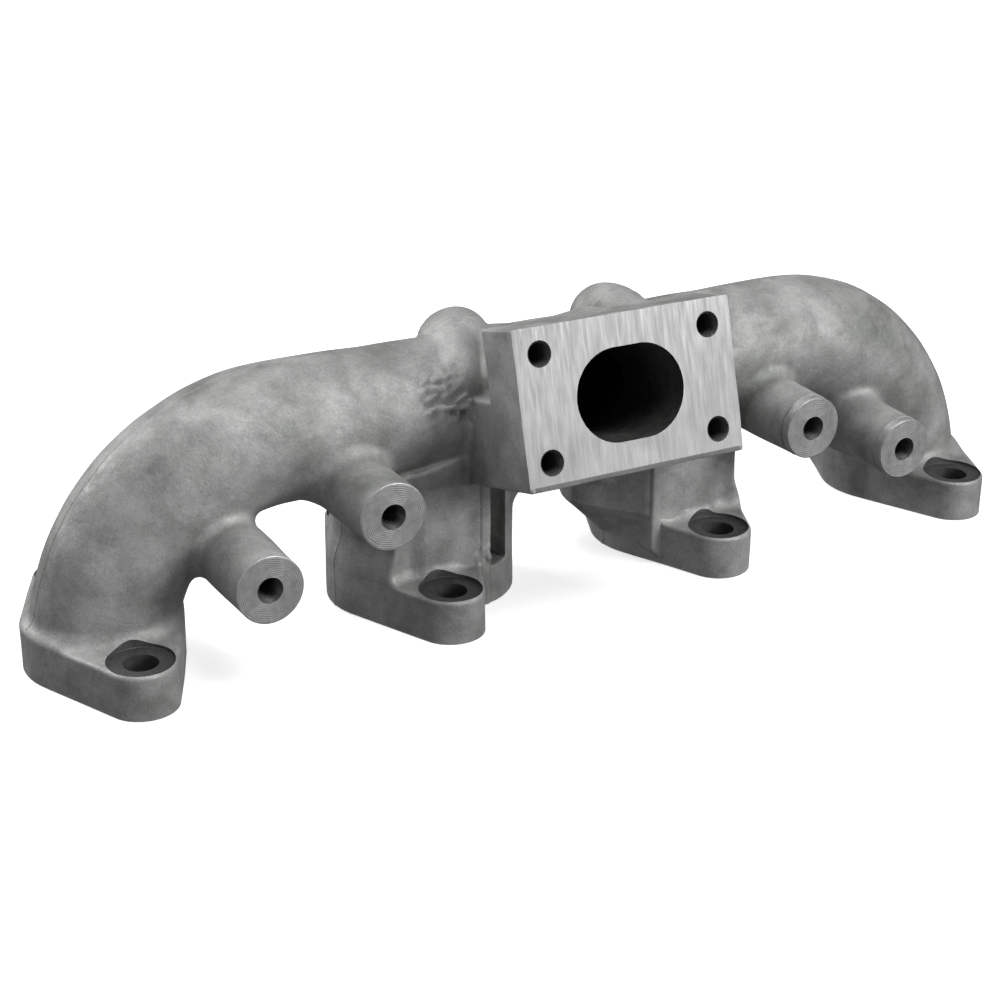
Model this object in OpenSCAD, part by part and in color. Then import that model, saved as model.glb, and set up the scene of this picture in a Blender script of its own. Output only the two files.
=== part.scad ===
// Four-port exhaust manifold: one iron casting, divided into its named cast features.
// Origin on the cylinder-head face, midway between ports 2 and 3. X runs along the ports,
// +Y points away from the turbocharger, +Z points away from the cylinder head.

/* [Cylinder-head pads] */
// Distance between neighbouring ports
port_pitch = 105; // [100:1:112]
// Radius of a port opening
port_r = 17.5; // [15:0.5:18.5]
// Outer radius of a pad round its port
pad_r = 25.6; // [25:0.1:27]
// Thickness of a pad
pad_t = 15; // [14.5:0.5:18]
// Radius of the lobe round each stud hole
lobe_r = 11.3; // [11.2:0.1:12.5]
// Distance between the two stud holes of a pad
stud_span = 71; // [68:1:76]
// Radius of a stud hole
stud_hole_r = 5.5; // [4.5:0.5:5.5]
// Radius of the machined spot face round a stud hole
spot_r = 10.5; // [9.5:0.1:11]
// Height of a spot face above the cylinder-head face
spot_z = 13.9; // [12.5:0.1:14.2]

/* [Risers] */
// How far the inner side of a middle riser stands out towards the centre
riser_shift = 13.5; // [10:0.5:15]
// Front and back faces of a riser, measured from the port line
riser_half_y = 24.5; // [24:0.1:25]
// Slope of the passage in a middle riser towards the centre, in degrees
riser_lean = 15; // [10:1:18]
// Height at which the risers end and the collector starts
riser_top_z = 48; // [46:1:50]
// Radius of the rounded crown above each middle riser
crown_r = 12; // [10:0.5:13]

/* [Runners] */
// Height of the runner axis above the cylinder-head face
runner_z = 66; // [64:0.5:70]
// Radius of the bend of an end runner
bend_r = 61.4; // [58:0.2:62]
// Outer radius of an end elbow
elbow_r = 23.1; // [22.5:0.1:23.5]
// Outer radius of a runner at the collector
runner_r = 22.4; // [22:0.1:22.8]
// Radius of the gas passage in the runners
passage_r = 17.5; // [15:0.5:17.8]
// Angle by which the runners come forward towards the collector
runner_yaw = 1.4; // [0:0.1:2]

/* [Collector and turbocharger flange] */
// Width of the turbocharger face
face_w = 79.5; // [76:0.5:84]
// Height of the turbocharger face
face_h = 51; // [49:0.5:54]
// Distance of the face centre in front of the port line
face_y = 58; // [56:0.5:62]
// Height of the face centre above the cylinder-head face
face_z = 80.2; // [79:0.1:82]
// Angle by which the face looks upwards
face_tilt = 15; // [12:0.5:18]
// Thickness of the flange behind its face
flange_t = 20; // [19:1:24]
// Width of the gas opening in the flange
inlet_w = 39.4; // [36:0.2:42]
// Height of the gas opening in the flange
inlet_h = 30; // [28:0.5:31]
// Distance across between the threaded holes of the flange
tap_span_x = 61.9; // [60:0.1:64]
// Distance up between the threaded holes of the flange
tap_span_y = 33.9; // [33:0.1:38]
// Radius of the rounded lower corner of the flange
corner_r = 5.5; // [2:0.5:6]

/* [Heat-shield bosses] */
// Outer radius of a boss
boss_r = 11; // [9.5:0.5:11.5]
// Distance of the boss faces in front of the port line
boss_face_y = 50; // [46:1:52]
// Distance of an inner boss from the centre
inner_boss_x = 79.5; // [78:0.5:84]
// Height of an inner boss
inner_boss_z = 51; // [49:0.5:53]
// Distance of an outer boss from the centre
outer_boss_x = 120.7; // [119:0.1:122]
// Height of an outer boss
outer_boss_z = 35.7; // [34:0.1:37]
// Radius of the threaded holes before the thread is cut
tap_r = 3.4; // [3.3:0.05:3.5]
// Depth of the threaded holes
tap_depth = 18; // [14:1:18]

/* [Hidden] */
$fn = 96;
iron = [0.42, 0.43, 0.42];
machined = [0.62, 0.63, 0.63];
port_x = [-1.5 * port_pitch, -0.5 * port_pitch, 0.5 * port_pitch, 1.5 * port_pitch];
mid_x = port_pitch / 2;
end_x = 1.5 * port_pitch;
stud_y = stud_span / 2;
pad_angle = asin((pad_r - lobe_r) / stud_y);
bend_x = end_x - bend_r;
bend_z = runner_z - bend_r;
runner_y = -0.7;
barrel_r = 24.5;
barrel_y = -2;
barrel_passage_r = passage_r + 1;
riser_passage_r = port_r - 1.5;
shoulder_r = 26;
shoulder_z = 42;
flare_z = 5;
block_l = 52;
inlet_l = 45;
tap_mouth_r = 4.2;
crown_y = 5;
crown_x = 29;
crown_z = 82.7;
big = 400;
eps = 0.01;
inset = 0.02;

// ---- prisms that stand on the cylinder-head face, with a port on the axis ----

// four straight sides of a pad, just inside the common tangents of its circles
module pad_sides() {
    lobe = [lobe_r * cos(pad_angle) - inset, stud_y + lobe_r * sin(pad_angle)];
    waist = [pad_r * cos(pad_angle) - inset, pad_r * sin(pad_angle)];
    polygon([
        lobe, waist, [waist[0], -waist[1]], [lobe[0], -lobe[1]],
        [-lobe[0], -lobe[1]], [-waist[0], -waist[1]], [-waist[0], waist[1]], [-lobe[0], lobe[1]]
    ]);
}

module pad_prism(height) {
    cylinder(r = pad_r, h = height);
    for (dir = [-1, 1]) translate([0, dir * stud_y, 0]) cylinder(r = lobe_r, h = height);
    linear_extrude(height) pad_sides();
}

module between_riser_faces() {
    intersection() {
        children();
        translate([-big / 2, -riser_half_y, -1]) cube([big, 2 * riser_half_y, big]);
    }
}

// inner side of a middle riser, which stands out towards the centre
module riser_bulge(height) {
    between_riser_faces() translate([riser_shift, 0, 0]) cylinder(r = pad_r, h = height);
}

// ---- gas passages ----

module port_passage(x) {
    translate([x, 0, -1]) cylinder(r = port_r, h = pad_t + 1 + eps);
}

module riser_passage(side) {
    translate([side * mid_x, barrel_y, pad_t])
        rotate([0, -side * riser_lean, 0]) translate([0, 0, -6]) cylinder(r = riser_passage_r, h = 60);
}

// gallery along the collector, between the two runners
module barrel_passage() {
    translate([-big / 2, barrel_y, runner_z]) rotate([0, 90, 0]) cylinder(r = barrel_passage_r, h = big);
}

// ---- runners: drawn for the right-hand side, yawed about the end port ----

module runner_frame(side) {
    mirror([side > 0 ? 0 : 1, 0, 0])
        translate([end_x, runner_y, 0]) rotate([0, 0, runner_yaw]) translate([-end_x, 0, 0])
            children();
}

module elbow_solid(r) {
    translate([bend_x, 0, bend_z]) rotate([90, 0, 0])
        rotate_extrude(angle = 90) translate([bend_r, 0]) circle(r);
}

module runner_solid(r_start, r_end, length) {
    translate([bend_x, 0, runner_z]) rotate([0, -90, 0]) cylinder(r1 = r_start, r2 = r_end, h = length);
}

// ---- turbocharger face: local Z looks out of the face, local Y up along it ----

module face_frame() {
    translate([0, -face_y, face_z]) rotate([90 - face_tilt, 0, 0]) children();
}

module face_outline() {
    difference() {
        square([face_w, face_h], center = true);
        translate([face_w / 2 - corner_r, -face_h / 2 - 1]) square([corner_r + 1, corner_r + 1]);
    }
    translate([face_w / 2 - corner_r, -face_h / 2 + corner_r]) circle(corner_r);
}

module inlet_passage() {
    face_frame() translate([0, 0, -inlet_l]) {
        for (dir = [-1, 1]) translate([dir * (inlet_w - inlet_h) / 2, 0, 0])
            cylinder(d = inlet_h, h = inlet_l + 1);
        translate([-(inlet_w - inlet_h) / 2, -inlet_h / 2, 0])
            cube([inlet_w - inlet_h, inlet_h, inlet_l + 1]);
    }
}

module tapped_hole(depth) {
    translate([0, 0, -depth]) cylinder(r = tap_r, h = depth + 1);
    translate([0, 0, -(tap_mouth_r - tap_r)]) cylinder(r1 = tap_r, r2 = tap_mouth_r + 1, h = tap_mouth_r - tap_r + 1);
}

// ---- cast features ----

module port_pad(index) {
    x = port_x[index];
    color(iron) difference() {
        translate([x, 0, 0]) union() {
            pad_prism(pad_t);
            if (index == 1) riser_bulge(pad_t);
        }
        port_passage(x);
        for (dir = [-1, 1]) translate([x, dir * stud_y, 0]) {
            translate([0, 0, -1]) cylinder(r = stud_hole_r, h = pad_t + 2);
            translate([0, 0, spot_z]) cylinder(r = spot_r, h = pad_t);
        }
    }
}

module end_elbow(side) {
    color(iron) difference() {
        intersection() {
            runner_frame(side) elbow_solid(elbow_r);
            translate([-big / 2, -big / 2, pad_t]) cube(big);
        }
        runner_frame(side) elbow_solid(passage_r);
    }
}

module runner_outer(side) {
    intersection() {
        runner_frame(side) runner_solid(elbow_r, runner_r, bend_x);
        translate([side > 0 ? face_w / 2 : -big - face_w / 2, -big / 2, 0]) cube(big);
    }
}

module runner(side) {
    color(iron) difference() {
        runner_outer(side);
        runner_frame(side) runner_solid(passage_r, passage_r, bend_x);
        riser_passage(side);
    }
}

// body of a middle riser up to the runner that it carries
module riser_body(side) {
    intersection() {
        translate([side * mid_x, 0, 0]) mirror([side > 0 ? 1 : 0, 0, 0]) union() {
            between_riser_faces() pad_prism(runner_z);
            riser_bulge(runner_z);
        }
        union() {
            translate([-big / 2, -big / 2, 0]) cube([big, big, shoulder_z]);
            translate([-big / 2, barrel_y, shoulder_z]) rotate([0, 90, 0]) cylinder(r = shoulder_r, h = big);
        }
    }
}

module riser(side) {
    color(iron) difference() {
        intersection() {
            riser_body(side);
            union() {
                translate([-big / 2, -big / 2, pad_t]) cube([big, big, riser_top_z - pad_t]);
                translate([side > 0 ? face_w / 2 : -big - face_w / 2, -big / 2, pad_t]) cube(big);
            }
        }
        runner_frame(side) runner_solid(elbow_r, runner_r, bend_x);
        riser_passage(side);
        translate([side * mid_x, 0, pad_t]) cylinder(r = port_r, h = 4);
        if (side > 0) {
            translate([mid_x - pad_r, -big / 2, flare_z]) rotate([0, -45, 0]) translate([-big, 0, 0]) cube([big, big, big]);
        }
        for (dir = [-1, 1]) translate([side * mid_x, dir * stud_y, spot_z]) cylinder(r = spot_r, h = 6);
    }
}

module collector_block() {
    face_frame() translate([0, 0, -block_l]) linear_extrude(block_l - flange_t) face_outline();
}

module collector_body() {
    intersection() {
        union() {
            collector_block();
            translate([-face_w / 2, barrel_y, runner_z]) rotate([0, 90, 0]) cylinder(r = barrel_r, h = face_w);
            for (side = [-1, 1]) riser_body(side);
        }
        translate([-face_w / 2, -big / 2, riser_top_z]) cube([face_w, big, big]);
    }
}

module collector() {
    color(iron) difference() {
        collector_body();
        barrel_passage();
        inlet_passage();
        for (side = [-1, 1]) riser_passage(side);
        flange_taps();
    }
}

module flange_taps() {
    face_frame() for (i = [-1, 1], j = [-1, 1]) translate([i * tap_span_x / 2, j * tap_span_y / 2, 0])
        tapped_hole(tap_depth);
}

module turbo_flange() {
    color(machined) difference() {
        face_frame() translate([0, 0, -flange_t]) linear_extrude(flange_t) face_outline();
        inlet_passage();
        flange_taps();
    }
}

module crown(side) {
    color(iron) difference() {
        intersection() {
            translate([side * crown_x, crown_y, crown_z]) union() {
                sphere(crown_r);
                translate([0, 0, -crown_r]) cylinder(r = crown_r - 0.4, h = crown_r);
            }
            translate([-face_w / 2, -big / 2, 0]) cube([face_w, big, big]);
        }
        collector_body();
        barrel_passage();
    }
}

module shield_boss(x, z, side) {
    color(iron) difference() {
        translate([x, -boss_face_y, z]) rotate([-90, 0, 0]) cylinder(r = boss_r, h = boss_face_y);
        runner_frame(side) elbow_solid(elbow_r);
        runner_frame(side) runner_solid(elbow_r, runner_r, bend_x);
        riser_body(side);
        translate([x, -boss_face_y, z]) rotate([90, 0, 0]) tapped_hole(tap_depth);
    }
}

port_pad(0);  // port_pad_1
port_pad(1);  // port_pad_2
port_pad(2);  // port_pad_3
port_pad(3);  // port_pad_4
end_elbow(-1);  // end_elbow_1
end_elbow(1);  // end_elbow_4
runner(-1);  // runner_left
runner(1);  // runner_right
riser(-1);  // riser_2
riser(1);  // riser_3
collector();
turbo_flange();
crown(-1);  // crown_2
crown(1);  // crown_3
shield_boss(-outer_boss_x, outer_boss_z, -1);  // shield_boss_outer_left
shield_boss(-inner_boss_x, inner_boss_z, -1);  // shield_boss_inner_left
shield_boss(inner_boss_x, inner_boss_z, 1);  // shield_boss_inner_right
shield_boss(outer_boss_x, outer_boss_z, 1);  // shield_boss_outer_right
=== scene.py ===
"""Four-port exhaust manifold: one iron casting with machined faces.

The casting is one signed distance field in millimetres, so its features flow into each other with
foundry fillets. Each named piece is that field meshed inside its own region and then cut, as the real
part is, by the tools that machine it: faces, spot faces, drilled holes and threads.
"""
import math

import bpy
import numpy as np
import openvdb
from mathutils import Matrix, Vector


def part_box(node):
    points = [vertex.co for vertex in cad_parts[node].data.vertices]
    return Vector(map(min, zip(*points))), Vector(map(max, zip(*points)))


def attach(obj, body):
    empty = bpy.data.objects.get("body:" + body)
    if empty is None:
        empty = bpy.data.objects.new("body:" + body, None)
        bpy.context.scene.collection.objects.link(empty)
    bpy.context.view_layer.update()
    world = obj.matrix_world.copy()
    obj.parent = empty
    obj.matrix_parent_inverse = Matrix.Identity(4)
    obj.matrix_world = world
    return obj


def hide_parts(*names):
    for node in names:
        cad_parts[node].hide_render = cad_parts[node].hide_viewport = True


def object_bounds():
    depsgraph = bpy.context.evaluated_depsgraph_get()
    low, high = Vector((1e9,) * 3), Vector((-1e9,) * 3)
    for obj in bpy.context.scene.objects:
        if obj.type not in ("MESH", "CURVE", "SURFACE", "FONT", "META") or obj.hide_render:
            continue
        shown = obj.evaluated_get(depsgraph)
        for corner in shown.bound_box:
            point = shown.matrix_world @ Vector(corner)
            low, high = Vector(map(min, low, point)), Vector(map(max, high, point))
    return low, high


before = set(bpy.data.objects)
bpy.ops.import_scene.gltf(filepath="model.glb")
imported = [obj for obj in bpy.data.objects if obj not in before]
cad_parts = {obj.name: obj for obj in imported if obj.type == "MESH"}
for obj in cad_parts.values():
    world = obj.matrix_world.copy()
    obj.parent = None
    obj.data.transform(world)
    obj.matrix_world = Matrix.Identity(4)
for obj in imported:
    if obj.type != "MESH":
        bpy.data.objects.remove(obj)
cad_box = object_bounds()
MM = 0.001


# ---- camera ----

def add_camera(position, azimuth, elevation, roll, lens):
    az, el = math.radians(azimuth), math.radians(elevation)
    back = Vector((math.sin(az) * math.cos(el), -math.cos(az) * math.cos(el), math.sin(el)))
    data = bpy.data.cameras.new("camera")
    data.lens = lens
    data.sensor_width = 36
    data.clip_start, data.clip_end = 0.05, 20
    camera = bpy.data.objects.new("camera", data)
    camera.rotation_mode = "QUATERNION"
    tilt = Matrix.Rotation(math.radians(roll), 3, "Z").to_quaternion()
    camera.rotation_quaternion = (-back).to_track_quat("-Z", "Y") @ tilt
    camera.location = Vector(position) * MM
    bpy.context.scene.collection.objects.link(camera)
    bpy.context.scene.camera = camera


add_camera((-322.5, -551.2, 292.95), -29.196, 23.006, 0.279, 71.70)

# ---- dimensions in millimetres, read from the frame ----


def node_box(node):
    low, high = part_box(node)
    return np.array(low) / MM, np.array(high) / MM


CAD_LOW, CAD_HIGH = (np.array(corner) / MM for corner in cad_box)
PAD_LOW, PAD_HIGH = node_box("port_pad_4")
FACE_LOW, FACE_HIGH = node_box("turbo_flange")
PAD_T = PAD_HIGH[2]  # thickness of a pad
PAD_R = (PAD_HIGH[0] - PAD_LOW[0]) / 2  # outer radius round a port
END_X = (PAD_HIGH[0] + PAD_LOW[0]) / 2  # distance of an end port from the centre
MID_X = END_X / 3  # distance of a middle port from the centre
LOBE_R = 11.3  # lobe round a stud hole
STUD_Y = PAD_HIGH[1] - LOBE_R  # distance of a stud hole from the port line
FACE_W = FACE_HIGH[0] - FACE_LOW[0]  # width of the turbocharger face
FACE_H = 51.0  # height of the turbocharger face
TILT = math.radians(15)  # angle by which that face looks upwards
FACE_Y = FACE_LOW[1] + FACE_H / 2 * math.sin(TILT)
FACE_Z = FACE_HIGH[2] - FACE_H / 2 * math.cos(TILT)
FLANGE_T = 20.0  # thickness of the flange
BLOCK_L = 52.0  # length of the block with its flange, along the gas flow

PORT_R, PASSAGE_R = 17.5, 17.5  # gas passages at the ports and in the runners
RUNNER_Y, RUNNER_Z = -0.7, 66.0  # centreline of a level runner
BEND_R = 61.4  # radius of the centreline in an end elbow
BEND_X, BEND_Z = END_X - BEND_R, RUNNER_Z - BEND_R
YAW = math.radians(1.4)  # angle of a runner's upright plane to the row of ports
TUBE_R_PORT, TUBE_R_CENTRE = 23.2, 22.3  # outside of a runner at its two ends
BARREL_Y, BARREL_R = -2.0, 21.6  # gallery between the two runners
RISER_Y = 24.5  # front and back faces of a riser
RISER_SHIFT = 13.5  # how far its inner side stands out towards the centre
RISER_TOP = 48.0  # height at which a riser's piece ends
RISER_LEAN = math.radians(15)  # angle of the passage inside a riser
ARCH_R, ARCH_Z = 15.5, 21.0  # tunnel between the two risers
ARCH_HALF = 13.0  # half the depth of the web over the tunnel
CROWN_X, CROWN_Y, CROWN_Z, CROWN_R = 29.0, 5.0, 82.7, 12.0  # dome of a crown
CROWN_PATH_R, CROWN_TAIL_R = 17.6, 8.8  # path of a crown's tail round the gallery, and its radius
BOSS_R = 11.0
PARTING_Y = -1.0  # where the two halves of the mould met
FOOT_FILLET, BOSS_FILLET, BARREL_FILLET, BLOCK_FILLET = 5.0, 4.5, 3.0, 2.6
WEB_FILLET, RISER_FILLET, CROWN_FILLET, FLASH_FILLET = 4.0, 1.6, 0.8, 0.5
WAVE_HEIGHT, PARTING_HEIGHT = 0.035, 0.3
SKIN_ROOM = 0.05  # room that the casting skin leaves inside the CAD model's box
# patches of painted shade: darker colour on the fronts of the two end elbows and on the left runner next
# to the collector
PAINTED_SHADE_PATCHES = [  # centre and reach
    ((-160.0, -17.0, 50.0), 24.0),
    ((-144.0, -16.0, 67.0), 20.0),
    ((-170.0, -13.0, 34.0), 14.0),
    ((127.0, -21.0, 71.0), 15.0),
    ((-43.0, -25.5, 70.0), 9.0),
]
FLASHES = [  # start, end and radius of each scrap of flash
    ((-48.0, -25.0, 72.4), (-40.2, -27.2, 72.8), 0.9),
    ((-44.6, -25.6, 72.2), (-44.4, -25.6, 67.8), 0.7),
    ((-40.6, -28.0, 75.0), (-40.2, -27.4, 68.6), 0.8),
]
ROUGH_PATCHES = [  # centre, reach and height
    ((-48.0, -24.0, 75.0), 11.0, 0.16),
    ((-43.8, -0.7, 88.6), 3.0, 0.25),
    ((-31.0, -2.0, 93.0), 5.0, 0.14),
    ((-33.5, -25.5, 18.5), 6.0, 0.20),
    ((36.0, -27.0, 95.0), 9.0, 0.08),
]
PORTS = (-END_X, -MID_X, MID_X, END_X)
STUD_R, SPOT_R = 5.5, 10.5  # stud holes and their spot faces
SPOT_Z, SPOT_TOP = 13.9, 29.0  # heights between which a spot face's tool cuts
TAP_R, TAP_DEPTH = 3.4, 18.0  # tap drill for M8
THREAD_PITCH, THREAD_HEIGHT = 1.25, 0.55
MOUTH = 0.8  # width of the chamfer at the mouth of a threaded hole
TAP_X, TAP_UP = 30.95, 16.95  # threaded holes of the turbocharger face
BOSSES = {}
for boss_name in ("outer_left", "inner_left", "inner_right", "outer_right"):
    boss_low, boss_high = node_box("shield_boss_" + boss_name)
    BOSSES[boss_name] = ((boss_low[0] + boss_high[0]) / 2, boss_low[1], boss_low[2] + BOSS_R)

SPLIT_Z = PAD_T + 0.6  # pads end here, just above their cast top faces
SPLIT_X = FACE_W / 2 + 1.2  # runners end here, just outside the sides of the collector
VOXEL = 0.6  # spacing of the lattice that the casting is meshed on
COARSE = 4  # voxels along one edge of a coarse cell
FAR = 400.0  # a distance larger than any on the part


# ---- signed distances: negative inside, everything in millimetres ----

def fillet_union(a, b, radius):
    """The union of a and b with a round fillet where they meet."""
    inner = np.maximum(radius - a, 0) ** 2 + np.maximum(radius - b, 0) ** 2
    return np.maximum(radius, np.minimum(a, b)) - np.sqrt(inner)


def round_cut(a, b, radius):
    """What a and b share, with its edge rounded."""
    outer = np.maximum(radius + a, 0) ** 2 + np.maximum(radius + b, 0) ** 2
    return np.minimum(-radius, np.maximum(a, b)) + np.sqrt(outer)


def rounded_box(x, y, z, half, radius):
    qx, qy, qz = (np.abs(v) - h + radius for v, h in zip((x, y, z), half))
    outside = np.sqrt(np.maximum(qx, 0) ** 2 + np.maximum(qy, 0) ** 2 + np.maximum(qz, 0) ** 2)
    return outside + np.minimum(np.maximum(np.maximum(qx, qy), qz), 0) - radius


def smooth_step(value, start, end):
    t = np.clip((value - start) / (end - start), 0, 1)
    return t * t * (3 - 2 * t)


def pad_outline(x, y):
    """Plan of a pad: a circle round the port joined by tangents to a lobe round each stud hole."""
    px, py = np.abs(x), np.abs(y)
    sin_t = (PAD_R - LOBE_R) / STUD_Y
    cos_t = math.sqrt(1 - sin_t**2)
    along = cos_t * py - sin_t * px
    side = cos_t * px + sin_t * py - PAD_R
    waist = np.hypot(px, py) - PAD_R
    lobe = np.hypot(px, py - STUD_Y) - LOBE_R
    return np.where(along < 0, waist, np.where(along > cos_t * STUD_Y, lobe, side))


def runner_axes(x, y, side):
    """Coordinates in the upright plane of a runner, which is yawed about its end port."""
    dx, dy = side * x - END_X, y - RUNNER_Y
    return END_X + math.cos(YAW) * dx + math.sin(YAW) * dy, math.cos(YAW) * dy - math.sin(YAW) * dx


def runner_line(x, y, z, side):
    """Distance from a runner's centreline, and how far from the port along it the nearest point is."""
    lx, ly = runner_axes(x, y, side)
    radial = np.hypot(lx - BEND_X, z - BEND_Z)
    angle = np.arctan2(z - BEND_Z, lx - BEND_X)
    bend = np.hypot(radial - BEND_R, ly)
    upright = np.hypot(lx - END_X, ly)
    level = np.sqrt((z - RUNNER_Z) ** 2 + ly**2 + np.maximum(20.0 - lx, 0) ** 2)
    in_bend = (lx > BEND_X) & (z > BEND_Z)
    is_level = ~in_bend & ((lx <= BEND_X) & ((z > BEND_Z) | (level < upright)))
    distance = np.where(in_bend, bend, np.where(is_level, level, upright))
    quarter = BEND_R * math.pi / 2
    length = np.where(in_bend, BEND_R * angle, np.where(is_level, quarter + BEND_X - lx, z - BEND_Z))
    return distance, length


def runner_tube(x, y, z, side):
    distance, length = runner_line(x, y, z, side)
    whole = BEND_R * math.pi / 2 + BEND_X
    radius = TUBE_R_PORT + (TUBE_R_CENTRE - TUBE_R_PORT) * np.clip(length / whole, 0, 1)
    return distance - radius


def end_foot(x, y, z, tube, side):
    """Pad of an end port, with the sloping shoulder that the runner comes down to."""
    px = x - side * END_X
    stand = fillet_union(tube, z - PAD_T, FOOT_FILLET)
    foot = round_cut(pad_outline(px, y), stand, 1.5)
    return np.maximum(foot, z - 30)


def riser(x, y, z, side):
    """Middle port's pad and riser. u counts from the port towards the centre of the manifold."""
    u = MID_X - side * x
    lean = 3.0 * smooth_step(z, PAD_T, PAD_T + 12)
    outer = pad_outline(u - lean, y)
    front = np.abs(y) - RISER_Y
    # the front wall is hollowed a little on both sides of the passage
    hollow_u = 13.0 + lean if side < 0 else 12.5
    hollow_y = np.abs(y) - RISER_Y - 4.3
    hollows = np.minimum(np.hypot(u - hollow_u, hollow_y), np.hypot(u + 9.0, hollow_y))
    wall = round_cut(front, 6.0 - hollows, 1.5)
    stand = fillet_union(wall, z - PAD_T, 4.0)
    leg = round_cut(np.where(z < PAD_T, pad_outline(u, y), outer), stand, 1.2)
    shift = RISER_SHIFT if side < 0 else np.clip(z - 5.0, 0, RISER_SHIFT)
    inner = round_cut(np.hypot(u - shift, y) - PAD_R, front, 1.2)
    if side < 0:
        # deep vertical slot behind the inner ridge, down to the top of the pad
        step = np.clip(25.5 - np.abs(y), 0, 9.5)
        slot = np.hypot(u - 24.3 - 0.18 * step, np.abs(y) - 25.5 + step) - 3.3
        slot = round_cut(slot, PAD_T - 1.6 - z, 1.0)
        inner = round_cut(inner, -slot, 1.0)
    else:
        # flat wall from the parting plane to the ridge, on the turbocharger's side
        flat = 0.787 * (u - shift + RISER_SHIFT) - 0.617 * y - 31.4
        inner = round_cut(inner, flat, 1.5)
    # vertical ridge where the inner side meets the front wall
    flare = 20.9 if side < 0 else 17.3 + np.clip(z - 2.0, 0, 3.6)
    ridge = round_cut(np.abs(y) - RISER_Y - 0.5, np.maximum(u - flare, 16.6 - u), 1.2)
    both = np.minimum(np.minimum(leg, inner), ridge)
    top = z - (54.5 - (np.abs(x) - 40.6) * 0.168)
    return round_cut(both, top, 1.8)


def face_axes(y, z):
    """Height along the turbocharger face and depth behind it."""
    dy, dz = y - FACE_Y, z - FACE_Z
    up = math.sin(TILT) * dy + math.cos(TILT) * dz
    depth = math.cos(TILT) * dy - math.sin(TILT) * dz
    return up, depth


def block(x, y, z):
    """Flange and the block behind it, which is lower than the flange, most of all at its sides."""
    up, depth = face_axes(y, z)
    whole = rounded_box(x, up, depth - BLOCK_L / 2 + 2, (FACE_W / 2, FACE_H / 2, BLOCK_L / 2 + 2), 0.7)
    top = 20.0 - 17.0 * smooth_step(np.abs(x), 24, 30)
    return round_cut(whole, np.minimum(depth - FLANGE_T - 0.4, up - top), 1.5)


def barrel(x, y, z):
    return round_cut(np.hypot(y - BARREL_Y, z - RUNNER_Z) - BARREL_R, np.abs(x) - FACE_W / 2 - 1.5, 2.0)


def crown(x, y, z, side):
    """Rounded top of a middle riser's pipe, which carries on over the front of the gallery."""
    radial = np.hypot(y - BARREL_Y, z - RUNNER_Z)
    angle = np.arctan2(z - RUNNER_Z, -(y - BARREL_Y))
    tail_x = 40.5 - 6.5 * smooth_step(angle, 0.5, 1.5)
    tail = np.hypot(radial - CROWN_PATH_R, x - side * tail_x) - CROWN_TAIL_R
    end = (CROWN_PATH_R + CROWN_TAIL_R - 0.4) * (0.27 - angle)
    tail = round_cut(tail, np.where(angle > -2, end, 40.0), 1.5)
    tail = np.where(angle < 2.0, tail, 40.0)
    dome = np.sqrt((x - side * CROWN_X) ** 2 + (y - CROWN_Y) ** 2 + (z - CROWN_Z) ** 2) - CROWN_R
    return fillet_union(tail, dome, 4.0)


def capsule(x, y, z, start, end, radius):
    start, end = np.array(start), np.array(end)
    axis = end - start
    along = (x - start[0]) * axis[0] + (y - start[1]) * axis[1] + (z - start[2]) * axis[2]
    along = np.clip(along / (axis @ axis), 0, 1)
    px, py, pz = (v - s - along * a for v, s, a in zip((x, y, z), start, axis))
    return np.sqrt(px**2 + py**2 + pz**2) - radius


def ripple(x, y, z, seed, count, shortest, longest):
    """Sum of sine waves in random directions, about 1 high for each two of them."""
    total = 0
    rng = np.random.default_rng(seed)
    for _ in range(count):
        direction = rng.normal(size=3)
        direction *= 2 * math.pi / rng.uniform(shortest, longest) / np.linalg.norm(direction)
        phase = rng.uniform(0, 6.28)
        total = total + np.sin(direction[0] * x + direction[1] * y + direction[2] * z + phase)
    return total


def skin_faults(x, y, z, body):
    """Foundry marks near the left crown: a torn flash and rough patches of skin."""
    for start, end, radius in FLASHES:
        body = fillet_union(body, capsule(x, y, z, start, end, radius), FLASH_FILLET)
    rough = ripple(x, y, z, 3, 6, 1.8, 4.0)
    for centre, reach, height in ROUGH_PATCHES:
        distance = np.sqrt(sum((v - c) ** 2 for v, c in zip((x, y, z), centre)))
        body = body + height * rough * (1 - smooth_step(distance, 0.4 * reach, reach))
    return body


def arch_web(x, y, z):
    """Web between the two risers, over the tunnel that separates them."""
    web = rounded_box(x, y - 2, z - 52, (24.0, ARCH_HALF, 22.0), 2.0)
    tunnel = ARCH_R - np.hypot(x, z - ARCH_Z)
    return round_cut(web, np.where(z > ARCH_Z, tunnel, 20.0), 4.0)


def bosses(x, y, z, tubes):
    field = tubes
    for bx, face_y, bz in BOSSES.values():
        grow = 0.5 * smooth_step(y, face_y + 4, -24)
        stem = np.maximum(np.hypot(x - bx, z - bz) - BOSS_R - grow, np.abs(y + 33) - 32)
        field = fillet_union(field, stem, BOSS_FILLET)
    return field


def waves(x, y, z):
    """Slight unevenness of a sand casting, about a tenth of a millimetre."""
    return WAVE_HEIGHT * ripple(x, y, z, 7, 9, 14, 42)


def parting_line(x, y, z):
    """Fine raised line where the two halves of the mould met; it is ground off the end pads."""
    line = PARTING_HEIGHT * np.exp(-(((y - PARTING_Y) / 0.5) ** 2))
    return np.where((z > PAD_T + 1) | (np.abs(x) < 100), line, 0)


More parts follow.
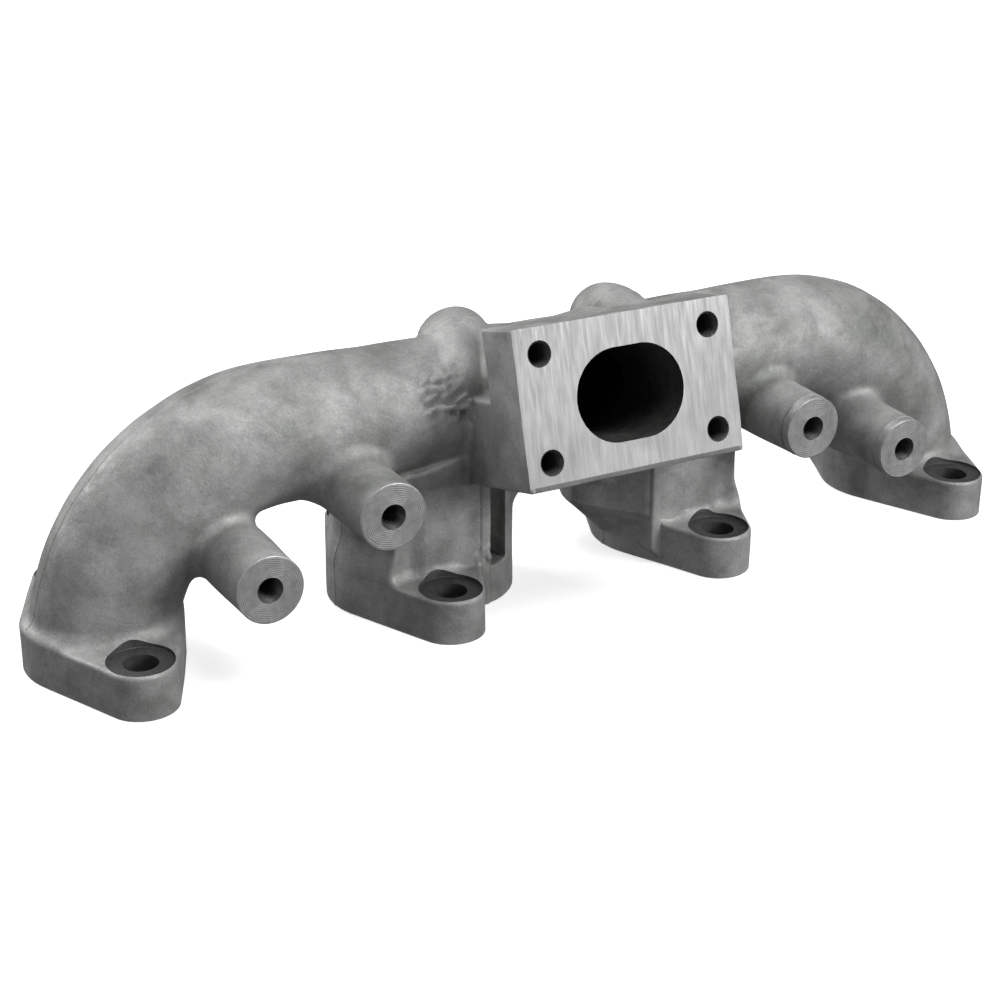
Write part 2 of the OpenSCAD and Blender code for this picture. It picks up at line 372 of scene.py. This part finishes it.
def passages(x, y, z):
    """Space that the gas flows through, from the four ports to the turbocharger face."""
    gas = np.maximum(np.hypot(y - BARREL_Y, z - RUNNER_Z) - PASSAGE_R - 1, np.abs(x) - FACE_W / 2 - 4)
    for side in (-1, 1):
        distance, _ = runner_line(x, y, z, side)
        gas = fillet_union(gas, distance - PASSAGE_R, 2.0)
        u = MID_X - side * x
        mid = np.maximum(np.hypot(u, y) - PORT_R, z - PAD_T - 3)
        axis = u - (z - PAD_T) * math.tan(RISER_LEAN)
        leg = np.hypot(axis * math.cos(RISER_LEAN), y - BARREL_Y) - (PORT_R - 1.5)
        leg = np.maximum(leg, np.abs(z - 38) - 27)
        gas = fillet_union(gas, fillet_union(mid, leg, 2.0), 2.0)
    up, depth = face_axes(y, z)
    inlet = np.hypot(np.maximum(np.abs(x) - 4.7, 0), up) - 15.0
    inlet = np.maximum(inlet, np.abs(depth - 20) - 27)
    return fillet_union(gas, inlet, 2.0)


def casting(x, y, z):
    """The whole casting before machining; the order of the unions decides where the fillets are."""
    tubes = np.full_like(x, FAR)
    feet = np.full_like(x, FAR)
    for side in (-1, 1):
        tube = runner_tube(x, y, z, side)
        tubes = np.minimum(tubes, tube)
        feet = np.minimum(feet, end_foot(x, y, z, tube, side))
    body = bosses(x, y, z, tubes)
    risers = np.minimum(riser(x, y, z, -1), riser(x, y, z, 1))
    body = fillet_union(body, barrel(x, y, z), BARREL_FILLET)
    body = fillet_union(body, block(x, y, z), BLOCK_FILLET)
    risers = fillet_union(risers, arch_web(x, y, z), WEB_FILLET)
    body = fillet_union(body, risers, RISER_FILLET)
    for side in (-1, 1):
        body = fillet_union(body, crown(x, y, z, side), CROWN_FILLET)
    body = skin_faults(x, y, z, np.minimum(body, feet))
    body = body + waves(x, y, z) - parting_line(x, y, z)
    for values, low, high in zip((x, y), CAD_LOW, CAD_HIGH):  # the waves don't make the part bigger
        body = np.maximum(body, np.maximum(low - values, values - high) + SKIN_ROOM)
    body = np.maximum(body, z - CAD_HIGH[2] + SKIN_ROOM)
    return np.maximum(body, -passages(x, y, z))


# ---- from the field to meshes ----


def mesh_field(name, field, low, high):
    """Meshes the field between two corners, on one lattice that all pieces share."""
    start = np.floor(np.array(low) / VOXEL - 2).astype(int)
    cells = np.ceil((np.array(high) / VOXEL + 2 - start) / COARSE).astype(int)
    centre = [(start[i] + (np.arange(cells[i]) + 0.5) * COARSE - 0.5) * VOXEL for i in range(3)]
    cx, cy, cz = (g.ravel().astype(np.float32) for g in np.meshgrid(*centre, indexing="ij"))
    coarse = field(cx, cy, cz)
    reach = (COARSE / 2 * math.sqrt(3) + 2.5) * VOXEL * 1.25
    active = np.abs(coarse) < reach
    values = np.repeat(np.sign(coarse)[:, None] * reach, COARSE**3, axis=1).astype(np.float32)
    steps = (np.arange(COARSE) - (COARSE - 1) / 2) * VOXEL
    ox, oy, oz = (g.ravel() for g in np.meshgrid(steps, steps, steps, indexing="ij"))
    px = (cx[active][:, None] + ox).ravel().astype(np.float32)
    py = (cy[active][:, None] + oy).ravel().astype(np.float32)
    pz = (cz[active][:, None] + oz).ravel().astype(np.float32)
    values[active] = field(px, py, pz).reshape(-1, COARSE**3)
    dense = values.reshape(*cells, COARSE, COARSE, COARSE).transpose(0, 3, 1, 4, 2, 5)
    dense = np.ascontiguousarray(dense.reshape(*(cells * COARSE)))
    for axis in range(3):  # close the mesh at the edge of its grid
        view = np.moveaxis(dense, axis, 0)
        view[0], view[-1] = VOXEL, VOXEL
    grid = openvdb.FloatGrid(reach)
    grid.copyFromArray(dense)
    points, quads = grid.convertToQuads(isovalue=0.0)
    points = (points + start) * VOXEL
    mesh = bpy.data.meshes.new(name)
    mesh.vertices.add(len(points))
    mesh.vertices.foreach_set("co", (points * MM).astype(np.float32).ravel())
    mesh.loops.add(len(quads) * 4)
    mesh.loops.foreach_set("vertex_index", quads.astype(np.int32).ravel())
    mesh.polygons.add(len(quads))
    mesh.polygons.foreach_set("loop_start", np.arange(0, len(quads) * 4, 4, dtype=np.int32))
    mesh.update(calc_edges=True)
    obj = bpy.data.objects.new(name, mesh)
    bpy.context.scene.collection.objects.link(obj)
    return obj


def solid(name, vertices, faces):
    mesh = bpy.data.meshes.new(name)
    mesh.from_pydata([[c * MM for c in v] for v in vertices], [], faces)
    obj = bpy.data.objects.new(name, mesh)
    bpy.context.scene.collection.objects.link(obj)
    return obj


def box_cutter(low, high, place=None, cell=5.0):
    """Box whose sides are a lattice of small faces, so that what it cuts has no large face with holes."""
    counts = [max(1, math.ceil((h - l) / cell)) for l, h in zip(low, high)]
    points, index, faces = [], {}, []

    def corner(*ijk):
        if ijk not in index:
            index[ijk] = len(points)
            point = Vector(l + (h - l) * n / c for l, h, n, c in zip(low, high, ijk, counts))
            points.append(place @ point if place else point)
        return index[ijk]

    for axis in range(3):
        b, c = (axis + 1) % 3, (axis + 2) % 3
        for at in (0, counts[axis]):
            for i in range(counts[b]):
                for j in range(counts[c]):
                    loop = []
                    for di, dj in ((0, 0), (1, 0), (1, 1), (0, 1)):
                        key = [0, 0, 0]
                        key[axis], key[b], key[c] = at, i + di, j + dj
                        loop.append(corner(*key))
                    faces.append(loop if at else loop[::-1])
    return solid("cutter", points, faces)


def ring_faces(rows, sides):
    """Faces of a closed solid whose vertices are a point, rows of rings and a last point."""
    faces = [(0, 1 + (i + 1) % sides, 1 + i) for i in range(sides)]
    for base in range(1, 1 + (rows - 1) * sides, sides):
        above = base + sides
        for i in range(sides):
            j = (i + 1) % sides
            faces.append((base + i, base + j, above + j, above + i))
    last = 1 + (rows - 1) * sides
    faces += [(last + i, last + (i + 1) % sides, last + sides) for i in range(sides)]
    return faces


def lathe(profile, matrix, sides=96):
    """Closed solid turned from (radius, height) points, the first and last on the axis."""
    ring = [(math.cos(2 * math.pi * i / sides), math.sin(2 * math.pi * i / sides)) for i in range(sides)]
    vertices = [(0, 0, profile[0][1])]
    for radius, height in profile[1:-1]:
        vertices += [(radius * c, radius * s, height) for c, s in ring]
    vertices.append((0, 0, profile[-1][1]))
    placed = [matrix @ Vector(v) for v in vertices]
    return solid("tool", placed, ring_faces(len(profile) - 2, sides))


def thread_cutter(matrix, sides=48, steps=8):
    """Tapped hole with a helical thread, mouth chamfer and drill point; local +Z looks out of the face."""
    rows = int((TAP_DEPTH + 2) / THREAD_PITCH * steps)
    heights = [-TAP_DEPTH + i * THREAD_PITCH / steps for i in range(rows)]
    mouth_r = TAP_R + MOUTH
    vertices = [(0, 0, -TAP_DEPTH - TAP_R * 0.6)]
    for h in heights:
        for i in range(sides):
            turn = i / sides
            phase = (h / THREAD_PITCH - turn) % 1.0
            wave = 1 - abs(2 * phase - 1)
            r = TAP_R + THREAD_HEIGHT * wave * min(1.0, (h + TAP_DEPTH) / THREAD_PITCH)
            if h > -(mouth_r - TAP_R):
                r = max(r, min(mouth_r + h, mouth_r + 1.2))
            vertices.append((r * math.cos(2 * math.pi * turn), r * math.sin(2 * math.pi * turn), h))
    vertices.append((0, 0, heights[-1]))
    placed = [matrix @ Vector(v) for v in vertices]
    return solid("tap", placed, ring_faces(len(heights), sides))


def cut(obj, tools):
    """Applies (operation, cutter) pairs to obj and removes the cutters."""
    for operation, cutter in tools:
        modifier = obj.modifiers.new("cut", "BOOLEAN")
        modifier.operation = operation
        modifier.solver = "MANIFOLD"
        modifier.object = cutter
    graph = bpy.context.evaluated_depsgraph_get()
    graph.update()
    made = bpy.data.meshes.new_from_object(obj.evaluated_get(graph))
    obj.modifiers.clear()
    old, obj.data = obj.data, made
    bpy.data.meshes.remove(old)
    for _, cutter in tools:
        data = cutter.data
        bpy.data.objects.remove(cutter)
        bpy.data.meshes.remove(data)


# ---- pieces ----


def face_matrix(x, up):
    """Frame on the turbocharger face: Z looks out of it and Y runs up along it."""
    outward = Vector((0, -math.cos(TILT), math.sin(TILT)))
    upward = Vector((0, math.sin(TILT), math.cos(TILT)))
    across = upward.cross(outward)
    place = Vector((0, FACE_Y, FACE_Z)) + across * x + upward * up
    turn = Matrix((across, upward, outward)).transposed().to_4x4()
    return Matrix.Translation(place) @ turn


def slab_behind_face(near, far, half_x=FACE_W / 2 + 3, half_up=FACE_H / 2 + 3):
    """Box between two depths behind the turbocharger face."""
    return box_cutter((-half_x, -half_up, -far), (half_x, half_up, -near), face_matrix(0, 0))


def along_y(x, y, z):
    """Frame whose Z looks towards the turbocharger's side, along -Y."""
    return Matrix.Translation(Vector((x, y, z))) @ Matrix.Rotation(math.pi / 2, 4, "X")


def stud_tools(x):
    tools = []
    for side in (-1, 1):
        place = Matrix.Translation(Vector((x, side * STUD_Y, 0)))
        profile = [(0, -2), (STUD_R + 1.1, -2), (STUD_R + 1.1, -0.6), (STUD_R, 0.5), (STUD_R, SPOT_Z)]
        profile += [(SPOT_R - 0.2, SPOT_Z), (SPOT_R, SPOT_Z + 0.2), (SPOT_R, SPOT_TOP), (0, SPOT_TOP)]
        tools.append(("DIFFERENCE", lathe(profile, place)))
    return tools


def flange_taps():
    return [
        ("DIFFERENCE", thread_cutter(face_matrix(i * TAP_X, j * TAP_UP)))
        for i in (-1, 1)
        for j in (-1, 1)
    ]


def side_box(side, near, far, low_z, high_z):
    """Box on one side of the centre, between two distances from it and two heights."""
    xs = sorted((side * near, side * far))
    return box_cutter((xs[0], -55, low_z), (xs[1], 55, high_z))


def build(name, low, high, tools):
    obj = mesh_field(name, casting, low, high)
    cut(obj, tools)
    return obj


def boss_region(boss, before=0):
    """Box round a boss, which may start some way before its face."""
    bx, by, bz = boss
    return box_cutter((bx - 13, by - before, bz - 13), (bx + 13, -31, bz + 13))


def crown_region(side):
    xs = sorted((side * 14, side * SPLIT_X))
    return box_cutter((xs[0], -12, 86), (xs[1], 22, 110))


def make_pieces():
    """All pieces by node, each one meshed in its own region and machined."""
    pieces = {}
    for index, x in enumerate(PORTS):
        name = f"port_pad_{index + 1}"
        low, high = (x - 42, -48, -3), (x + 42, 48, SPLIT_Z + 2)
        region = box_cutter((x - 45, -52, 0), (x + 45, 52, SPLIT_Z))
        pieces[name] = build(name, low, high, [("INTERSECT", region)] + stud_tools(x))
    for side, end in ((-1, "1"), (1, "4")):
        name = "end_elbow_" + end
        boss = BOSSES["outer_left" if side < 0 else "outer_right"]
        xs = sorted((side * (BEND_X - 3), side * (END_X + 28)))
        obj = build(
            name,
            (xs[0], -48, SPLIT_Z - 2),
            (xs[1], 48, 92),
            [
                ("INTERSECT", side_box(side, BEND_X, END_X + 40, SPLIT_Z, 95)),
                ("DIFFERENCE", boss_region(boss, 12)),
                ("DIFFERENCE", thread_cutter(along_y(*boss))),
            ]
            + stud_tools(side * END_X),
        )
        pieces[name] = obj
    for side, word in ((-1, "left"), (1, "right")):
        boss = BOSSES["inner_" + word]
        name = "runner_" + word
        xs = sorted((side * (SPLIT_X - 2), side * (BEND_X + 2)))
        pieces[name] = build(
            name,
            (xs[0], -40, 38),
            (xs[1], 40, 92),
            [
                ("INTERSECT", side_box(side, SPLIT_X, BEND_X, 20, 95)),
                ("DIFFERENCE", side_box(side, SPLIT_X - 5, MID_X + 31, 10, RISER_TOP)),
                ("DIFFERENCE", boss_region(boss, 12)),
            ],
        )
    for side, index in ((-1, 2), (1, 3)):
        name = f"riser_{index}"
        boss = BOSSES["inner_left" if side < 0 else "inner_right"]
        xs = sorted((0.0, side * (MID_X + 31)))
        pieces[name] = build(
            name,
            (xs[0] - 2, -48, SPLIT_Z - 2),
            (xs[1] + 2, 48, RISER_TOP + 2),
            [
                ("INTERSECT", side_box(side, 0, MID_X + 31, SPLIT_Z, RISER_TOP)),
                ("DIFFERENCE", boss_region(boss, 12)),
                ("DIFFERENCE", slab_behind_face(-10, FLANGE_T)),
            ]
            + stud_tools(side * MID_X),
        )
    pieces["collector"] = build(
        "collector",
        (-SPLIT_X - 2, -60, RISER_TOP - 2),
        (SPLIT_X + 2, 40, FACE_HIGH[2] + 2),
        [
            ("INTERSECT", box_cutter((-SPLIT_X, -70, RISER_TOP), (SPLIT_X, 50, 110))),
            ("DIFFERENCE", slab_behind_face(-10, FLANGE_T)),
        ]
        + [("DIFFERENCE", crown_region(side)) for side in (-1, 1)],
    )
    pieces["turbo_flange"] = build(
        "turbo_flange",
        (-FACE_W / 2 - 2, -68, 45),
        (FACE_W / 2 + 2, -28, FACE_HIGH[2] + 2),
        [("INTERSECT", slab_behind_face(0, FLANGE_T))] + flange_taps(),
    )
    for side, index in ((-1, 2), (1, 3)):
        xs = sorted((side * 12, side * SPLIT_X))
        pieces[f"crown_{index}"] = build(
            f"crown_{index}",
            (xs[0] - 2, -14, 82),
            (xs[1] + 2, 24, 98),
            [("INTERSECT", crown_region(side))],
        )
    for word, boss in BOSSES.items():
        name = "shield_boss_" + word
        bx, by, bz = boss
        turned = [(12.5, -3.4), (10.75, -3.4), (10.75, -0.35), (10.4, 0)]
        plain = [(12.5, -3.4), (11.6, -0.6), (10.7, 0)]
        profile = [(0, -40), (12.5, -40), *(turned if "right" in word else plain), (0, 0)]
        pieces[name] = build(
            name,
            (bx - 14, by - 3, bz - 14),
            (bx + 14, -29, bz + 14),
            [
                ("INTERSECT", boss_region(boss)),
                ("INTERSECT", lathe(profile, along_y(*boss))),
                ("DIFFERENCE", thread_cutter(along_y(*boss))),
            ],
        )
    return pieces


CAST, PASSAGE, MILLED, TURNED, DRILLED = range(5)
GAS_BAND = 0.4  # a face this close to the passages is their wall


def gradient(field, points):
    """Unit normals of a field at points in millimetres, by differences over a tetrahedron."""
    step = 0.25
    total = np.zeros_like(points)
    for corner in ((1, 1, 1), (1, -1, -1), (-1, 1, -1), (-1, -1, 1)):
        offset = np.array(corner, np.float32)
        moved = (points + offset * step).astype(np.float32)
        total += field(moved[:, 0].copy(), moved[:, 1].copy(), moved[:, 2].copy())[:, None] * offset
    return total / np.maximum(np.linalg.norm(total, axis=1), 1e-9)[:, None]


def finish_mesh(obj):
    """Gives each face its surface, and cast faces the field's normals, so pieces meet without a seam."""
    mesh = obj.data
    count, faces, loops = len(mesh.vertices), len(mesh.polygons), len(mesh.loops)
    points = np.empty(count * 3, np.float32)
    mesh.vertices.foreach_get("co", points)
    points = points.reshape(-1, 3) / MM
    centres, normals = np.empty(faces * 3, np.float32), np.empty(faces * 3, np.float32)
    mesh.polygons.foreach_get("center", centres)
    mesh.polygons.foreach_get("normal", normals)
    centres, normals = centres.reshape(-1, 3) / MM, normals.reshape(-1, 3)
    value = casting(*(centres[:, i].copy() for i in range(3)))
    gas = passages(*(centres[:, i].copy() for i in range(3)))
    slope = gradient(casting, centres)
    is_cast = (np.abs(value) < 0.22 * VOXEL + 0.05) & ((slope * normals).sum(1) > 0.86)
    kind = np.where(np.abs(gas) < GAS_BAND, PASSAGE, CAST)
    cx, cy, cz = centres.T
    up, depth = face_axes(cy, cz)
    stud = np.hypot(np.min([np.abs(cx - x) for x in PORTS], axis=0), np.abs(cy) - STUD_Y)
    tap = np.hypot(np.abs(cx) - TAP_X, np.abs(up) - TAP_UP)
    tap_zone_r, tap_zone_depth = TAP_R + 1.5, TAP_DEPTH + 4
    tool = (stud < SPOT_R + 0.2) & (cz < SPOT_TOP)
    tool |= (tap < tap_zone_r) & (np.abs(depth) < tap_zone_depth)
    for bx, by, bz in BOSSES.values():
        near = np.hypot(cx - bx, cz - bz)
        tool |= (near < tap_zone_r) & (cy < by + tap_zone_depth)
    kind[tool & ~is_cast] = DRILLED
    for bx, by, bz in BOSSES.values():
        near = np.hypot(cx - bx, cz - bz)
        end = (np.abs(cy - by) < 0.02) & (normals[:, 1] < -0.9)
        rim = (near > tap_zone_r) & (cy < by + 3.45) & ~is_cast
        kind[(near < BOSS_R + 0.5) & (end | rim)] = TURNED
    flat = np.abs(normals[:, 2]) > 0.9
    kind[(np.abs(cz) < 0.01) & flat] = MILLED
    kind[np.abs(depth) < 0.01] = MILLED
    mesh.polygons.foreach_set("material_index", kind.astype(np.int32))
    mesh.polygons.foreach_set("use_smooth", np.ones(faces, bool))
    mesh.set_sharp_from_angle(angle=math.radians(30))
    corner_normals = np.empty(loops * 3, np.float32)
    mesh.corner_normals.foreach_get("vector", corner_normals)
    corner_normals = corner_normals.reshape(-1, 3)
    vertex_normals = gradient(casting, points)
    loop_vertex = np.empty(loops, np.int32)
    mesh.loops.foreach_get("vertex_index", loop_vertex)
    totals = np.empty(faces, np.int32)
    mesh.polygons.foreach_get("loop_total", totals)
    loop_face = np.repeat(np.arange(faces), totals)
    from_field = vertex_normals[loop_vertex]
    good = is_cast[loop_face] & ((from_field * normals[loop_face]).sum(1) > 0.8)
    corner_normals[good] = from_field[good]
    mesh.normals_split_custom_set(corner_normals)
    radius = np.full(count, FAR)
    for bx, _, bz in BOSSES.values():
        radius = np.minimum(radius, np.hypot(points[:, 0] - bx, points[:, 2] - bz))
    studs = np.full(count, FAR)
    for x in PORTS:
        studs = np.minimum(studs, np.hypot(points[:, 0] - x, np.abs(points[:, 1]) - STUD_Y))
    radius = np.where(points[:, 2] < PAD_T + 6, studs, radius)
    attribute = mesh.attributes.new("turn_radius", "FLOAT", "POINT")
    attribute.data.foreach_set("value", (radius * MM).astype(np.float32))


# ---- materials ----

def principled(name):
    material = bpy.data.materials.new(name)
    material.use_nodes = True
    return material, material.node_tree, material.node_tree.nodes["Principled BSDF"]


def object_coords(tree, stretch=(1, 1, 1), turn=(0, 0, 0)):
    """Coordinates in metres, turned and then stretched."""
    coords = tree.nodes.new("ShaderNodeTexCoord").outputs["Object"]
    for vector, kind in ((turn, "Rotation"), (stretch, "Scale")):
        node = tree.nodes.new("ShaderNodeMapping")
        node.inputs[kind].default_value = vector
        tree.links.new(coords, node.inputs["Vector"])
        coords = node.outputs["Vector"]
    return coords


def noise(tree, vector, scale, detail=4.0, roughness=0.55, distortion=0.0):
    node = tree.nodes.new("ShaderNodeTexNoise")
    node.inputs["Scale"].default_value = scale
    node.inputs["Detail"].default_value = detail
    node.inputs["Roughness"].default_value = roughness
    node.inputs["Distortion"].default_value = distortion
    tree.links.new(vector, node.inputs["Vector"])
    return node.outputs["Fac"]


def math_node(tree, operation, *values):
    node = tree.nodes.new("ShaderNodeMath")
    node.operation = operation
    for socket, value in zip(node.inputs, values):
        if isinstance(value, (int, float)):
            socket.default_value = value
        else:
            tree.links.new(value, socket)
    return node.outputs["Value"]


def rings(tree, spacing):
    """Concentric turning marks, from the distance to the tool's axis that the mesh carries."""
    radius = tree.nodes.new("ShaderNodeAttribute")
    radius.attribute_name = "turn_radius"
    coords = object_coords(tree)
    wobble = noise(tree, coords, 300, 2)
    turns = math_node(tree, "MULTIPLY", radius.outputs["Fac"], 6.283 / spacing)
    phase = math_node(tree, "MULTIPLY_ADD", wobble, 1.5, turns)
    return math_node(tree, "MULTIPLY_ADD", math_node(tree, "SINE", phase), 0.5, 0.5)


def ramp(tree, factor, stops):
    """Colours or grey levels along a factor."""
    node = tree.nodes.new("ShaderNodeValToRGB")
    elements = node.color_ramp.elements
    colours = [(at, (c, c, c) if isinstance(c, float) else c) for at, c in stops]
    elements[0].position, elements[0].color = colours[0][0], (*colours[0][1], 1)
    elements[1].position, elements[1].color = colours[-1][0], (*colours[-1][1], 1)
    for position, colour in colours[1:-1]:
        elements.new(position).color = (*colour, 1)
    tree.links.new(factor, node.inputs["Fac"])
    return node.outputs["Color"]


def mix(tree, a, b, factor, blend="MIX"):
    node = tree.nodes.new("ShaderNodeMix")
    node.data_type = "RGBA"
    node.blend_type = blend
    for socket, value in ((node.inputs[0], factor), (node.inputs[6], a), (node.inputs[7], b)):
        if isinstance(value, float):
            socket.default_value = value
        else:
            tree.links.new(value, socket)
    return node.outputs[2]


def bump(tree, height, distance, strength=1.0, below=None):
    node = tree.nodes.new("ShaderNodeBump")
    node.inputs["Strength"].default_value = strength
    node.inputs["Distance"].default_value = distance
    tree.links.new(height, node.inputs["Height"])
    if below is not None:
        tree.links.new(below, node.inputs["Normal"])
    return node.outputs["Normal"]


def iron_material(name, colour, roughness, normal, metallic):
    material, tree, shader = principled(name)
    tree.links.new(colour(tree), shader.inputs["Base Color"])
    tree.links.new(roughness(tree), shader.inputs["Roughness"])
    tree.links.new(normal(tree), shader.inputs["Normal"])
    shader.inputs["Metallic"].default_value = metallic
    return material


def painted_shade_patches(tree, coords):
    """Painted shade: patches of darker colour with ragged edges, where the elbows and the left runner fall
    into shade.
    """
    factor = None
    ragged = noise(tree, coords, 120, 5, 0.65)
    for centre, reach in PAINTED_SHADE_PATCHES:
        node = tree.nodes.new("ShaderNodeVectorMath")
        node.operation = "DISTANCE"
        tree.links.new(coords, node.inputs[0])
        node.inputs[1].default_value = [c * MM for c in centre]
        near = math_node(tree, "MULTIPLY_ADD", node.outputs["Value"], 1 / (reach * MM), 0.0)
        near = math_node(tree, "MULTIPLY_ADD", ragged, 1.5, near)
        factor = near if factor is None else math_node(tree, "MINIMUM", factor, near)
    return ramp(tree, factor, [(0.70, 0.72), (1.05, 1.0)])


def cast_colour(tree):
    coords = object_coords(tree)
    greys = [(0.34, (0.205, 0.212, 0.203)), (0.66, (0.385, 0.387, 0.381))]
    cloud = ramp(tree, noise(tree, coords, 38, 3, 0.6, 0.4), greys)
    stain = ramp(tree, noise(tree, coords, 95, 5, 0.7), [(0.36, 0.70), (0.56, 1.0)])
    speck = ramp(tree, noise(tree, coords, 1100, 3, 0.7), [(0.30, 0.84), (0.70, 1.14)])
    skin = mix(tree, mix(tree, cloud, stain, 0.7, "MULTIPLY"), speck, 1.0, "MULTIPLY")
    # the last factor is painted shade on a few patches
    return mix(tree, skin, painted_shade_patches(tree, coords), 1.0, "MULTIPLY")


def cast_roughness(tree):
    return ramp(tree, noise(tree, object_coords(tree), 260, 4), [(0.3, 0.48), (0.7, 0.66)])


def cast_normal(tree):
    coords = object_coords(tree)
    grit = bump(tree, noise(tree, coords, 1500, 3, 0.6), 0.00014, 0.7)
    return bump(tree, noise(tree, coords, 420, 3, 0.5), 0.00025, 0.5, grit)


def milled_colour(tree):
    streak = noise(tree, object_coords(tree, (1.0, 0.06, 0.06)), 1600, 4, 0.6)
    fine = ramp(tree, streak, [(0.3, 0.262), (0.7, 0.318)])
    patch = ramp(tree, noise(tree, object_coords(tree), 60, 4, 0.6), [(0.35, 0.86), (0.65, 1.04)])
    return mix(tree, fine, patch, 1.0, "MULTIPLY")


def milled_roughness(tree):
    streak = noise(tree, object_coords(tree, (1.0, 0.1, 0.1)), 900, 3)
    return ramp(tree, streak, [(0.3, 0.40), (0.7, 0.56)])


def milled_normal(tree):
    return bump(tree, noise(tree, object_coords(tree, (1.0, 0.05, 0.05)), 1500, 3, 0.6), 0.00006, 0.5)


def turned_colour(tree):
    marks = ramp(tree, rings(tree, 0.0006), [(0.0, 0.31), (1.0, 0.44)])
    patch = ramp(tree, noise(tree, object_coords(tree), 400, 4, 0.6), [(0.35, 0.80), (0.65, 1.05)])
    return mix(tree, marks, patch, 1.0, "MULTIPLY")


def turned_normal(tree):
    return bump(tree, rings(tree, 0.0006), 0.00008, 0.6)


# The near-black grey is painted shade and painted dark reflection on the spot faces and in the holes; the
# rings are real turning marks.
def drilled_painted_shade_colour(tree):
    marks = ramp(tree, rings(tree, 0.0007), [(0.0, 0.045), (1.0, 0.075)])
    patch = ramp(tree, noise(tree, object_coords(tree), 500, 4, 0.6), [(0.35, 0.75), (0.65, 1.1)])
    return mix(tree, marks, patch, 1.0, "MULTIPLY")


def passage_painted_shade_colour(tree):
    # The passage walls' near-black colour is painted shade inside the casting.
    painted_shade_greys = [(0.3, (0.022, 0.021, 0.020)), (0.7, (0.06, 0.057, 0.054))]
    return ramp(tree, noise(tree, object_coords(tree), 300, 5, 0.6), painted_shade_greys)


def passage_roughness(tree):
    return ramp(tree, noise(tree, object_coords(tree), 300, 5), [(0.3, 0.75), (0.7, 0.95)])


SURFACES = [
    iron_material("cast_iron_shot_blasted", cast_colour, cast_roughness, cast_normal, 0.3),
    # gas passages: near-black painted shade
    iron_material("cast_iron_gas_passage_painted_shade", passage_painted_shade_colour, passage_roughness, cast_normal, 0.0),
    iron_material("cast_iron_milled", milled_colour, milled_roughness, milled_normal, 0.5),
    iron_material("cast_iron_turned", turned_colour, milled_roughness, turned_normal, 0.6),
    # drilled faces: near-black painted shade and painted dark reflection
    iron_material("cast_iron_drilled_painted_shade", drilled_painted_shade_colour, milled_roughness, turned_normal, 0.3),
]

for node, obj in make_pieces().items():
    obj.data.materials.clear()
    for surface in SURFACES:
        obj.data.materials.append(surface)
    finish_mesh(obj)
    obj.name = "cast_" + node
    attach(obj, "root")
    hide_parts(node)

# ---- studio ----


def add_light(name, size, position, target, power):
    data = bpy.data.lights.new(name, "AREA")
    data.shape = "RECTANGLE"
    data.size, data.size_y = size
    data.energy = power
    light = bpy.data.objects.new(name, data)
    light.location = position
    light.rotation_mode = "QUATERNION"
    light.rotation_quaternion = (Vector(target) - Vector(position)).to_track_quat("-Z", "Y")
    bpy.context.scene.collection.objects.link(light)


CENTRE = (0, 0, 0.05)
add_light("key", (0.8, 0.6), (0.3, -0.7, 1.4), CENTRE, 13)
add_light("front", (0.8, 0.6), (1.0, -1.6, 0.7), CENTRE, 27)
add_light("top", (1.6, 0.7), (-0.3, 0.6, 1.5), CENTRE, 12)
add_light("rim", (0.5, 0.8), (-0.9, 1.3, 0.75), CENTRE, 15)
add_light("left", (0.2, 0.15), (-0.5, -0.25, 0.05), (-0.18, -0.02, 0.0), 0.25)
world = bpy.data.worlds.new("studio")
world.use_nodes = True
world.node_tree.nodes["Background"].inputs["Color"].default_value = (1, 1, 1, 1)
world.node_tree.nodes["Background"].inputs["Strength"].default_value = 0.16
bpy.context.scene.world = world
bpy.context.scene.view_settings.view_transform = "Standard"

floor_mesh = bpy.data.meshes.new("floor")
floor_mesh.from_pydata([(-9, -9, 0), (9, -9, 0), (9, 9, 0), (-9, 9, 0)], [], [(0, 1, 2, 3)])
floor = bpy.data.objects.new("floor", floor_mesh)
floor.location.z = -0.0002
bpy.context.scene.collection.objects.link(floor)
floor_material, floor_tree, floor_shader = principled("floor")
floor_shader.inputs["Base Color"].default_value = (0.9, 0.9, 0.9, 1)
floor_shader.inputs["Roughness"].default_value = 0.9
floor_shader.inputs["Emission Color"].default_value = (1, 1, 1, 1)
floor_shader.inputs["Emission Strength"].default_value = 0.55
floor_mesh.materials.append(floor_material)
floor.visible_diffuse = False
floor.visible_glossy = False
